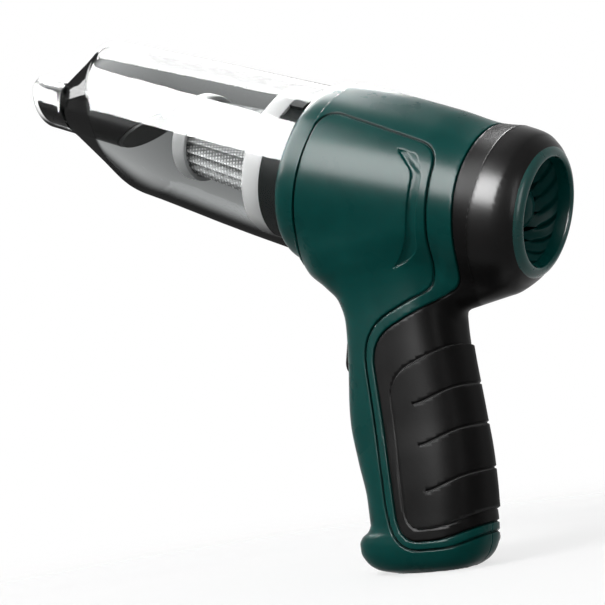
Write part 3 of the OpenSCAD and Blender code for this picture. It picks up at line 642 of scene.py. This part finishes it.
def solid(
    name,
    colour,
    rough,
    shine=0.5,
    metal=0.0,
    grain=0.00004,
    grain_scale=1800,
    mottle=0.06,
    spread=0.05,
    stretch=None,
    polish=None,
    polish_shine=0.0,
    painted_line_colour=None,
):
    """Moulded plastic or metal with a fine grain and slightly uneven gloss.

    Where the mesh's attribute polish is one, the roughness goes down to the share polish and
    the gloss up by polish_shine; where its attribute edge is one, the colour goes to the line
    colour given and the gloss to nought. This is painted light: painted shade at the bottom of
    the housing's grooves, and a painted highlight along the pad's groove walls and edge.
    """
    mat, nodes, links = nodes_of(name)
    shader = nodes["Principled BSDF"]
    shader.inputs["Metallic"].default_value = metal
    shader.inputs["Specular IOR Level"].default_value = shine
    # Light scatters just below the surface, so the panels show in the gloss alone
    shader.subsurface_method = "BURLEY"
    shader.inputs["Subsurface Weight"].default_value = 1 - metal
    shader.inputs["Subsurface Radius"].default_value = (1, 1, 1)
    shader.inputs["Subsurface Scale"].default_value = 0.0001
    coarse = texture(nodes, links, 90, 4, stretch)
    fine = texture(nodes, links, grain_scale, 2, stretch)
    low = [c * (1 - mottle) for c in colour]
    high = [min(1, c * (1 + mottle)) for c in colour]
    shade = tint(nodes, links, between(nodes, links, coarse, 0, 1), low, high)
    roughness = between(nodes, links, coarse, rough - spread, rough + spread)
    gloss = shine
    if polish:
        area = attribute(nodes, "polish")
        gloss = sum_of(nodes, links, "MULTIPLY", area, polish_shine)
        gloss = sum_of(nodes, links, "ADD", gloss, shine)
        less = sum_of(nodes, links, "MULTIPLY", area, 1 - polish)
        share = sum_of(nodes, links, "SUBTRACT", 1.0, less)
        roughness = sum_of(nodes, links, "MULTIPLY", roughness, share)
    # Painted light: where the attribute edge is one, the colour goes to painted shade in the
    # grooves or to a painted highlight on the pad
    if painted_line_colour:
        edge = attribute(nodes, "edge")
        shade = tint(nodes, links, edge, shade, painted_line_colour)
        rest = sum_of(nodes, links, "SUBTRACT", 1.0, edge)
        gloss = sum_of(nodes, links, "MULTIPLY", gloss, rest)
    if polish or painted_line_colour:
        links.new(gloss, shader.inputs["Specular IOR Level"])
    links.new(shade, shader.inputs["Base Color"])
    links.new(roughness, shader.inputs["Roughness"])
    if grain:
        relief = nodes.new("ShaderNodeBump")
        relief.inputs["Strength"].default_value = 0.35
        relief.inputs["Distance"].default_value = grain
        links.new(fine, relief.inputs["Height"])
        links.new(relief.outputs["Normal"], shader.inputs["Normal"])
    return mat


def sum_of(nodes, links, kind, a, b):
    node = nodes.new("ShaderNodeMath")
    node.operation = kind
    for socket, value in zip(node.inputs, (a, b)):
        if isinstance(value, (int, float)):
            socket.default_value = value
        else:
            links.new(value, socket)
    return node.outputs[0]


def seen_directly(nodes, links):
    """One for what the eye sees, also in mirrors and through glass, and nought for light."""
    path = nodes.new("ShaderNodeLightPath").outputs
    seen = sum_of(nodes, links, "MAXIMUM", path["Is Camera Ray"], path["Is Glossy Ray"])
    return sum_of(nodes, links, "MAXIMUM", seen, path["Is Transmission Ray"])


def smoked(name):
    """Clear smoked plastic: darker where it is seen edge on, and open to the light."""
    mat, nodes, links = nodes_of(name)
    nodes.remove(nodes["Principled BSDF"])
    weight = nodes.new("ShaderNodeLayerWeight")
    weight.inputs["Blend"].default_value = 0.5
    facing = weight.outputs["Facing"]
    mirror = sum_of(nodes, links, "MULTIPLY", sum_of(nodes, links, "POWER", facing, 4.0), 0.02)
    mirror = sum_of(nodes, links, "ADD", mirror, 0.012)
    path = nodes.new("ShaderNodeLightPath").outputs
    seen = sum_of(nodes, links, "SUBTRACT", 1.0, path["Is Shadow Ray"])
    edge = nodes.new("ShaderNodeMapRange")
    edge.interpolation_type = "SMOOTHSTEP"
    edge.inputs["From Min"].default_value = 0.45
    edge.inputs["From Max"].default_value = 0.74
    links.new(facing, edge.inputs["Value"])
    clear = nodes.new("ShaderNodeBsdfTransparent")
    shade = sum_of(nodes, links, "MULTIPLY", edge.outputs["Result"], seen)
    passed = tint(nodes, links, shade, (0.95, 0.955, 0.955), (0.01, 0.0105, 0.0105))
    links.new(passed, clear.inputs["Color"])
    gloss = nodes.new("ShaderNodeBsdfGlossy")
    gloss.inputs["Color"].default_value = (1, 1, 1, 1)
    smear = texture(nodes, links, 60, 3)
    links.new(between(nodes, links, smear, 0.015, 0.045), gloss.inputs["Roughness"])
    mix = nodes.new("ShaderNodeMixShader")
    links.new(mirror, mix.inputs["Fac"])
    links.new(clear.outputs[0], mix.inputs[1])
    links.new(gloss.outputs[0], mix.inputs[2])
    smoke = nodes.new("ShaderNodeVolumeAbsorption")
    smoke.inputs["Color"].default_value = (0.0, 0.02, 0.02, 1)
    links.new(sum_of(nodes, links, "MULTIPLY", seen, 24.0), smoke.inputs["Density"])
    out = nodes["Material Output"]
    links.new(mix.outputs[0], out.inputs["Surface"])
    links.new(smoke.outputs[0], out.inputs["Volume"])
    return mat


def woven(name):
    """Filter mesh: pale threads with dark gaps, on the pleats' own UV in millimetres."""
    mat, nodes, links = nodes_of(name)
    shader = nodes["Principled BSDF"]
    shader.inputs["Specular IOR Level"].default_value = 0.25
    uv = nodes.new("ShaderNodeUVMap")
    uv.uv_map = "weave"
    split = nodes.new("ShaderNodeSeparateXYZ")
    links.new(uv.outputs["UV"], split.inputs[0])
    waves = []
    for socket in (split.outputs["X"], split.outputs["Y"]):
        turn = sum_of(nodes, links, "MULTIPLY", socket, 2 * math.pi / 2.3)
        waves.append(sum_of(nodes, links, "SINE", turn, 0.0))
    dot = sum_of(nodes, links, "MULTIPLY", *waves)
    fac = nodes.new("ShaderNodeMapRange")
    fac.inputs["From Min"].default_value = 0.1
    fac.inputs["From Max"].default_value = 0.5
    links.new(dot, fac.inputs["Value"])
    thread = tint(nodes, links, fac.outputs["Result"], (0.20, 0.205, 0.205), (0.88, 0.885, 0.88))
    links.new(thread, shader.inputs["Base Color"])
    uneven = between(nodes, links, texture(nodes, links, 500), 0.55, 0.75)
    links.new(uneven, shader.inputs["Roughness"])
    relief = nodes.new("ShaderNodeBump")
    relief.inputs["Strength"].default_value = 0.5
    relief.inputs["Distance"].default_value = 0.0002
    links.new(fac.outputs["Result"], relief.inputs["Height"])
    links.new(relief.outputs["Normal"], shader.inputs["Normal"])
    return mat


GREEN = (0.0005, 0.054, 0.048)
finish_of = {
    "smoked_clear": smoked("smoked_clear"),
    "filter_mesh": woven("filter_mesh"),
    "green_plastic": solid(
        "green_plastic",
        GREEN,
        0.28,
        0.026,
        spread=0.012,
        polish=1.0,
        polish_shine=0.12,
        # Painted shade: near black at the bottom of the shells' grooves
        painted_line_colour=(0.0002, 0.003, 0.0027),
    ),
    "grille_green": solid("grille_green", (0.001, 0.036, 0.033), 0.34, 0.03),
    "cover_black": solid(
        "cover_black",
        (0.007, 0.0067, 0.0067),
        0.36,
        0.014,
        spread=0.02,
        polish=0.82,
        polish_shine=0.045,
        # Painted shade: darker at the bottom of the cover's groove
        painted_line_colour=(0.001, 0.001, 0.001),
    ),
    "pad_black": solid(
        "pad_black",
        (0.0095, 0.0092, 0.0092),
        0.4,
        0.009,
        grain=0.00008,
        grain_scale=1400,
        # Painted highlight: light grey lines along the pad's groove walls and edge
        painted_line_colour=(0.09, 0.09, 0.09),
    ),
    "button_black": solid("button_black", (0.004, 0.004, 0.004), 0.4, 0.03),
    "inlet_black": solid("inlet_black", (0.0015, 0.0015, 0.0015), 0.3, 0.02),
    "flap_grey": solid("flap_grey", (0.05, 0.053, 0.051), 0.45, 0.04),
    "white_plastic": solid("white_plastic", (0.955, 0.96, 0.955), 0.45, 0.05, mottle=0.02),
    "seat_black": solid("seat_black", (0.002, 0.006, 0.0055), 0.4, 0.015, grain=0),
    "seal_rubber": solid("seal_rubber", (0.006, 0.006, 0.006), 0.65, 0.2),
    "steel": solid("steel", (0.2, 0.2, 0.2), 0.5, 0.5, 1.0, stretch=(1, 6, 1)),
    "brass": solid("brass", (0.6, 0.42, 0.16), 0.3, 0.5, 1.0),
    "motor_metal": solid("motor_metal", (0.5, 0.5, 0.5), 0.35, 0.5, 1.0, stretch=(1, 1, 5)),
    "contact_metal": solid("contact_metal", (0.6, 0.58, 0.52), 0.35, 0.5, 1.0),
    "fan_grey": solid("fan_grey", (0.12, 0.125, 0.125), 0.45),
    "shroud_grey": solid("shroud_grey", (0.05, 0.052, 0.052), 0.5),
    "cell_wrap": solid("cell_wrap", (0.05, 0.16, 0.3), 0.35),
    "board_green": solid("board_green", (0.02, 0.13, 0.05), 0.45),
    "parts_black": solid("parts_black", (0.012, 0.012, 0.012), 0.4),
    "inner_black": solid("inner_black", (0.015, 0.015, 0.015), 0.5),
    "cap_ivory": solid("cap_ivory", (0.7, 0.66, 0.55), 0.5),
}

for name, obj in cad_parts.items():
    slot = obj.data.materials[0].name.split(".")[0] if obj.data.materials else "inner_black"
    if slot in finish_of:
        obj.data.materials.clear()
        obj.data.materials.append(finish_of[slot])

# Housing

slot_of = {
    "left_shell": "green_plastic",
    "right_shell": "green_plastic",
    "grip_cover": "cover_black",
    "grip_pad": "pad_black",
}
for name, points, faces, normals in housing():
    obj = piece(name + "_skin", points, faces, "housing", [name], slot_of[name], normals)
    if name == "grip_cover":
        reach, height = along_barrel(points)
        mark(obj, "polish", ramp(reach, CREASE + 0.2, CREASE + 0.9) * ramp(height, -46, -38))
    # The edge attribute paints light: a painted highlight along the pad's groove walls and edge,
    # and painted shade at the bottom of the grooves on the shells and the cover
    mark(obj, "edge", pad_painted_highlight(points) if name == "grip_pad" else groove(points))

# Collar with a rolled lip
collar = [(8.25, COLLAR_R), (5, COLLAR_R), (3, 35.52), (1.6, 35.3), (0.6, 34.95), (-0.2, 34.45)]
collar += [(-0.7, 33.95), (-0.95, 33.6), (-0.9, 33.5), (-0.5, 33.4), (5.6, 33.4)]
collar += [(5.7, 30.6), (8.25, 30.6)]
points, faces = turned(collar, COLLAR, ALONG, RISE, 160)
piece("front_collar_ring", points, faces, "housing", ["front_collar"], "green_plastic")


# Dust cup

def cup_radius(s):
    return 32.9 + 0.026 * s - 0.65 * ramp(-s, 30, 98)


# Slant of the rings of cone and nose, and the nose's height on the barrel's axis and radius
NOSE_SLANT, NOSE_MID, NOSE_R = 0.54, -3.8, 10.25


def cup_ring(s, r, mid, slant, count=128):
    angle = np.linspace(0, 2 * math.pi, count, endpoint=False)
    z = r * np.cos(angle)
    p = COLLAR + (s - slant * z)[:, None] * ALONG + (mid + z)[:, None] * RISE
    return p + (r * np.sin(angle))[:, None] * SIDE


SHOULDER = -103.2
shoulder_r = cup_radius(SHOULDER)
rings = [cup_ring(5, cup_radius(5), 0, 0), cup_ring(-25, cup_radius(-25), 0, 0)]
for s, slant in ((-45, 0.15), (-62, 0.3), (-78, 0.43), (-90, NOSE_SLANT)):
    rings.append(cup_ring(s, cup_radius(s), 0, slant))
for t in np.linspace(0, 1, 9):
    ds = (1 - t) ** 2 * 4.5 + 2 * t * (1 - t) * 1.6 + t * t * -1.2
    dr = (1 - t) ** 2 * 0.12 + 2 * t * (1 - t) * 0.04 + t * t * -1.6
    mid = NOSE_MID * max(0, 3 - ds) / 36
    rings.append(cup_ring(SHOULDER + ds, shoulder_r + dr, mid, NOSE_SLANT))
for t in (0.25, 0.5, 0.75, 0.9):
    rings.append(cup_ring(-105.6 - t * 28.6, 26.98 - t * 16.3, -0.57 - t * 3.13, NOSE_SLANT))
nose = [(-134.4, 10.75), (-135.2, 10.2), (-135.9, 9.8), (-136.6, 9.8), (-137, 10.2)]
nose += [(-137.4, NOSE_R), (-144, NOSE_R), (-151.2, NOSE_R), (-151.9, 10.05), (-152.3, 9.6)]
nose += [(-152.3, 9.2), (-152.0, 8.9), (-151.4, 8.75)]
for s, r in nose:
    rings.append(cup_ring(s, r, NOSE_MID, NOSE_SLANT))
points, faces = np.vstack(rings), band(len(rings), 128, False)
piece("dust_cup_clear", points, faces, "cup", ["dust_cup"], "smoked_clear", sharp=60)

# Filter: cap, pleats and flange
cap = (
    [(-62.3, 0.02), (-65.3, 0.02)]
    + [(-65.3, 14), (-65.7, 15.2)]
    + arc((-64.3, 16), 2, 200, 90, 9)
    + [(-60, 18), (-59.3, 17.7), (-59.3, 16.2), (-62.3, 15.8)]
)
points, faces = turned(cap, COLLAR, ALONG, RISE)
piece("filter_cap_disc", points, faces, "housing", ["filter_cap"], "white_plastic")
flange = (
    arc((-19.2, 28.4), 1.5, 180, 90, 7)
    + [(-12.6, 29.9), (-12, 29.5), (-12, 26.9), (-8, 26.9), (-8, 25.1), (-13.8, 25.1)]
    + [(-18.7, 27), (-18.7, 14), (-20.7, 14)]
)
points, faces = turned(flange, COLLAR, ALONG, RISE)
piece("filter_flange", points, faces, "housing", ["filter_frame"], "white_plastic")


def pleats():
    folds, per, rows = 22, 12, 12
    count = folds * per
    turn = np.linspace(0, 2 * math.pi, count, endpoint=False)
    wave = np.arange(count) % per / per
    wave = np.abs(2 * wave - 1)
    fold = np.clip(1.25 * wave - 0.125, 0, 1)
    points, weave = [], []
    for i in range(rows + 1):
        s = -62.1 + i * 41.2 / rows
        scale = 1 + 0.16 * i / rows
        r = (15.6 - 3.4 * (1 - fold)) * scale
        ring = np.cos(turn)[:, None] * RISE + np.sin(turn)[:, None] * SIDE
        points.append(COLLAR + s * ALONG + r[:, None] * ring)
        step = np.linalg.norm(points[-1] - np.roll(points[-1], 1, 0), axis=1)
        weave.append(np.stack([np.cumsum(step), np.full(count, s)], 1))
    return np.vstack(points), band(rows + 1, count, False), np.vstack(weave)


points, faces, weave = pleats()
obj = piece(
    "filter_pleat_mesh", points, faces, "housing", ["filter_pleats"], "filter_mesh", sharp=70
)
layer = obj.data.uv_layers.new(name="weave")
order = np.empty(len(obj.data.loops), int)
obj.data.loops.foreach_get("vertex_index", order)
layer.data.foreach_set("uv", weave[order].astype(np.float32).ravel())

# Exhaust ring, bowl and slots
ring = [(-6, 21.9), (-1.5, 22.2), (-1.3, 23.7), (-0.95, 24.15), (-0.4, 23.85), (0.2, 23.3)]
ring += [(0.7, 22.6), (1.1, 21.75), (1.3, 20.9), (1.2, 20.3), (0.75, 19.9), (0, 19.8)]
ring += [(-4.2, 19.8), (-4.2, 21), (-6, 21)]
points, faces = turned(ring, EXHAUST, EXHAUST_OUT, EXHAUST_UP, 160)
obj = piece("exhaust_bezel_ring", points, faces, "housing", ["exhaust_bezel"], "green_plastic")
mark(obj, "polish", np.ones(len(obj.data.vertices)))


# Turn of the slots from one row of the bowl to the next, in radians
SWIRL = 0.085


def bowl():
    """The bowl's inner face and slots that swirl round its wall, with the slots' sides."""
    profile = [(-15.3, 11), (-14.2, 12.2), (-13, 13.1), (-11.6, 14.1), (-10, 15.2)]
    profile += [(-8.4, 16.4), (-7, 17.5), (-5.8, 18.6), (-4.9, 19.4), (-4.2, 19.75)]
    wide = [0, 0.04, 0.17, 0.22, 0.08, 0, 0, 0, 0, 0]
    slots = 16
    points, faces = [], []
    across = np.cross(EXHAUST_OUT, EXHAUST_UP)

    def at(s, r, turn):
        spoke = math.cos(turn) * EXHAUST_UP + math.sin(turn) * across
        return EXHAUST + s * EXHAUST_OUT + r * spoke

    columns = 6
    for i, (s, r) in enumerate(profile):
        swirl = SWIRL * i
        for k in range(slots):
            for offset in (-0.42, -0.3, -wide[i], wide[i], 0.3, 0.42):
                points.append(at(s, r, (k + offset) * 2 * math.pi / slots + swirl))
    count = slots * columns
    for i in range(len(profile) - 1):
        for k in range(count):
            hole = k % columns == 2 and wide[i] + wide[i + 1] > 0.05
            if not hole:
                m, row, next_row = (k + 1) % count, i * count, (i + 1) * count
                faces.append((row + k, row + m, next_row + m, next_row + k))
    base = len(points)
    for i, (s, r) in enumerate(profile):
        for k in range(slots):
            for offset in (-wide[i], wide[i]):
                turn = (k + offset) * 2 * math.pi / slots + SWIRL * i
                points.append(at(s - 1.5, r + 0.6, turn))
    for i in range(len(profile) - 1):
        for k in range(slots):
            for edge in (0, 1):
                top = i * count + k * columns + 2 + edge
                low = base + i * slots * 2 + k * 2 + edge
                faces.append((top, top + count, low + slots * 2, low))
    return np.array(points), faces


points, faces = bowl()
piece("exhaust_bowl", points, faces, "housing", ["exhaust_grille"], "grille_green", sharp=50)
hub = [(-15.3, 11.02), (-15.45, 9.8), (-15.2, 8.9), (-12.6, 8.7), (-10.2, 8.1), (-8.3, 7)]
hub += [(-6.9, 5.4), (-6.1, 3.6), (-5.7, 1.8), (-5.6, 0.01)]
points, faces = turned(hub, EXHAUST, EXHAUST_OUT, EXHAUST_UP, 96, closed=False)
piece("exhaust_hub", points, faces, "housing", ["exhaust_grille"], "grille_green")


def button():
    """The raked button: a rounded tab that tapers into its face."""
    rows, count = [], 64
    turn = np.linspace(0, 2 * math.pi, count, endpoint=False)
    profile = [(0, -3.5), (0, -0.9), (0.12, -0.45), (0.45, -0.12), (1.0, 0), (3.2, 0.1)]
    profile.append((5.3, 0.12))
    for inset, proud in profile:
        y = (BUTTON_R - inset) * np.cos(turn)
        z = (BUTTON_R - inset) * np.sin(turn) + np.sign(np.sin(turn)) * BUTTON_HALF
        z = np.where(np.abs(np.sin(turn)) < 1e-9, 0, z) + BUTTON_Z
        x = -32 + (z - 76) * 0.245 - proud
        rows.append(np.stack([x, y, z], 1))
    points = np.vstack(rows)
    faces = band(len(rows), count, False)
    faces.append(tuple(range((len(rows) - 1) * count, len(rows) * count)))
    return points, faces


points, faces = button()
piece("power_button_tab", points, faces, "button", ["power_button"], "button_black")


# Floor, fading into the white behind it
FLOOR_HALF = 0.9
corners = [(-1, -1), (1, -1), (1, 1), (-1, 1)]
mesh = bpy.data.meshes.new("floor")
mesh.from_pydata([(FLOOR_HALF * x, FLOOR_HALF * y, 0) for x, y in corners], [], [(0, 1, 2, 3)])
floor = bpy.data.objects.new("floor", mesh)
floor.location.z = -0.0002
bpy.context.scene.collection.objects.link(floor)
floor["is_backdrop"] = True
mat, nodes, links = nodes_of("floor")
nodes.remove(nodes["Principled BSDF"])
matt = nodes.new("ShaderNodeBsdfDiffuse")
matt.inputs["Color"].default_value = (0.3, 0.3, 0.3, 1)
glow = nodes.new("ShaderNodeEmission")
strength = sum_of(nodes, links, "MULTIPLY", seen_directly(nodes, links), 0.7)
links.new(strength, glow.inputs["Strength"])
shader = nodes.new("ShaderNodeAddShader")
links.new(matt.outputs[0], shader.inputs[0])
links.new(glow.outputs[0], shader.inputs[1])
coords = nodes.new("ShaderNodeTexCoord")
away = nodes.new("ShaderNodeVectorMath")
away.operation = "LENGTH"
links.new(coords.outputs["Object"], away.inputs[0])
fade = nodes.new("ShaderNodeMapRange")
fade.interpolation_type = "SMOOTHSTEP"
fade.inputs["From Min"].default_value = 0.12
fade.inputs["From Max"].default_value = 0.5
links.new(away.outputs["Value"], fade.inputs["Value"])
open_air = nodes.new("ShaderNodeBsdfTransparent")
mix = nodes.new("ShaderNodeMixShader")
links.new(fade.outputs["Result"], mix.inputs["Fac"])
links.new(shader.outputs[0], mix.inputs[1])
links.new(open_air.outputs[0], mix.inputs[2])
links.new(mix.outputs[0], nodes["Material Output"].inputs["Surface"])
mesh.materials.append(mat)

# World: white to the eye, in mirrors and through glass; a plain level for the light
scene = bpy.context.scene
world = bpy.data.worlds.new("studio")
scene.world = world
world.use_nodes = True
nodes, links = world.node_tree.nodes, world.node_tree.links
level = nodes.new("ShaderNodeMapRange")
level.inputs["To Min"].default_value = 0.62
level.inputs["To Max"].default_value = 1.0
links.new(seen_directly(nodes, links), level.inputs["Value"])
nodes["Background"].inputs["Color"].default_value = (1, 1, 1, 1)
links.new(level.outputs["Result"], nodes["Background"].inputs["Strength"])


def lamp(name, at, target, wide, tall, radiance, upright=(0, 0, 1)):
    data = bpy.data.lights.new(name, "AREA")
    data.shape = "RECTANGLE"
    data.size, data.size_y = wide, tall
    data.energy = radiance * math.pi * wide * tall
    obj = bpy.data.objects.new(name, data)
    z = (Vector(at) - Vector(target)).normalized()
    x = Vector(upright).cross(z).normalized()
    obj.matrix_world = Matrix.Translation(at) @ Matrix((x, z.cross(x), z)).transposed().to_4x4()
    bpy.context.scene.collection.objects.link(obj)
    return obj


# Camera

AZIMUTH, ELEVATION, ROLL = math.radians(32.693), math.radians(-5), math.radians(-7.7)
right = Vector((math.cos(AZIMUTH), math.sin(AZIMUTH), 0))
back = Vector(
    (
        math.sin(AZIMUTH) * math.cos(ELEVATION),
        -math.cos(AZIMUTH) * math.cos(ELEVATION),
        math.sin(ELEVATION),
    )
)
up = back.cross(right)
across = math.cos(ROLL) * right + math.sin(ROLL) * up
upward = -math.sin(ROLL) * right + math.cos(ROLL) * up
data = bpy.data.cameras.new("camera")
data.sensor_width = 36
data.lens = 86.28
data.clip_start = 0.01
camera = bpy.data.objects.new("camera", data)
place = Matrix.Identity(4)
for k, column in enumerate((across, upward, back, Vector((0.25826, -0.48009, 0.05719)))):
    for i in range(3):
        place[i][k] = column[i]
camera.matrix_world = place
scene.collection.objects.link(camera)
scene.camera = camera

# Lamps: a key from the upper front, and panels around the object that only gloss shows.
# Each panel: name, place, size across and up, radiance and upward direction
CUP_MIDDLE = (-0.09, 0, 0.185)
panels = [
    ("front_panel", (-0.601, -0.491, 0.739), 0.8, 0.8, 85, (0.372, 0.496, 0.784)),
    ("low_panel", (-0.058, -0.861, 0.450), 0.69, 0.585, 165, (0.412, 0.280, 0.867)),
    ("rear_panel", (-0.463, 0.428, 0.884), 0.48, 1.0, 60, (-0.289, 0.740, -0.608)),
    ("nose_panel", (-0.86, 0.03, 0.62), 0.45, 0.3, 36, (0, 0, 1)),
    ("tail_panel", (0.83, -0.37, 0.05), 0.25, 0.5, 18, (0, 0, 1)),
]
lamp("key", (-0.35, -0.95, 0.95), (0, 0, 0.1), 0.5, 0.5, 11.5)
for name, at, wide, tall, radiance, upright in panels:
    target = (0.055, 0, 0.123) if name == "tail_panel" else CUP_MIDDLE
    lamp(name, at, target, wide, tall, radiance, upright).visible_diffuse = False

scene.view_settings.view_transform = "Standard"

bpy.context.view_layer.update()
boxes = [
    [list(map(float, row)) for row in np.array(box, float).reshape(-1, 3)]
    for box in (cad_box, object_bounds())
]
